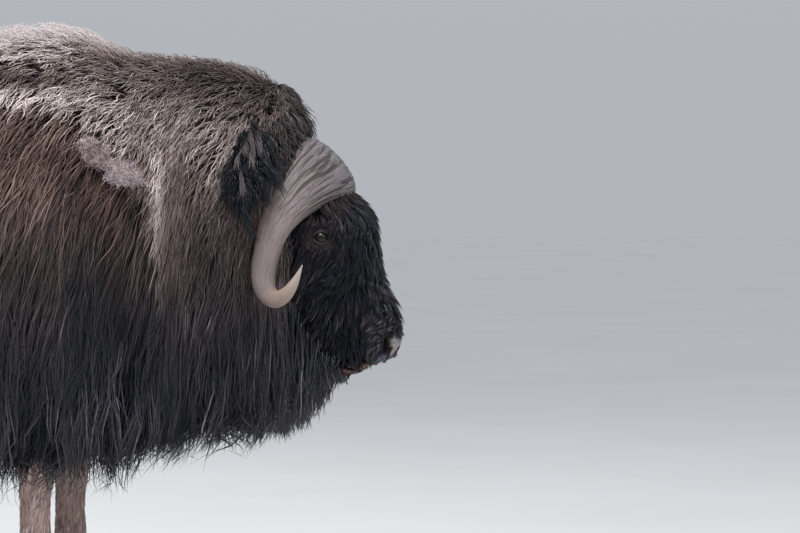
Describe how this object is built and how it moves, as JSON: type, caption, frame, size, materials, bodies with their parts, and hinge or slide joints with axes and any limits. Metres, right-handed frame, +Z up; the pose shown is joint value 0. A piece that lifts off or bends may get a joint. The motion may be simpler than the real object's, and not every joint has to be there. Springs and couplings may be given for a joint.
{
  "type": "muskox",
  "caption": "Life-size standing muskox bull with a long shaggy skirt, hanging mane, thick boss and down-curved horns.",
  "frame": {"origin": "on the floor, under the middle of the animal's box", "axes": "+X towards the front, +Y towards the animal's left, +Z up"},
  "size_m": [2.3106, 0.7984, 1.4077],
  "materials": {
    "mane": "long tan to brown hair over dense wool",
    "coat": "long dark brown to black guard hair",
    "face_hair": "short to shaggy black-brown hair",
    "stocking": "short pale hair",
    "hoof": "dull black horn",
    "horn": "weathered horn with fine lengthwise cracks",
    "eye": "wet dark brown"
  },
  "bodies": {
    "root": {"head": "face_hair", "neck": "mane", "shoulder_right": "coat", "shoulder_left": "coat", "flank_right": "coat", "flank_left": "coat", "rump_right": "coat", "rump_left": "coat", "tail": "coat", "leg_front_right": "stocking", "leg_front_left": "stocking", "leg_hind_right": "stocking", "leg_hind_left": "stocking", "hoof_front_right": "hoof", "hoof_front_left": "hoof", "hoof_hind_right": "hoof", "hoof_hind_left": "hoof", "horn_right": "horn", "horn_left": "horn", "ear_right": "face_hair", "ear_left": "face_hair", "eye_right": "eye", "eye_left": "eye"}
  },
  "joints": []
}
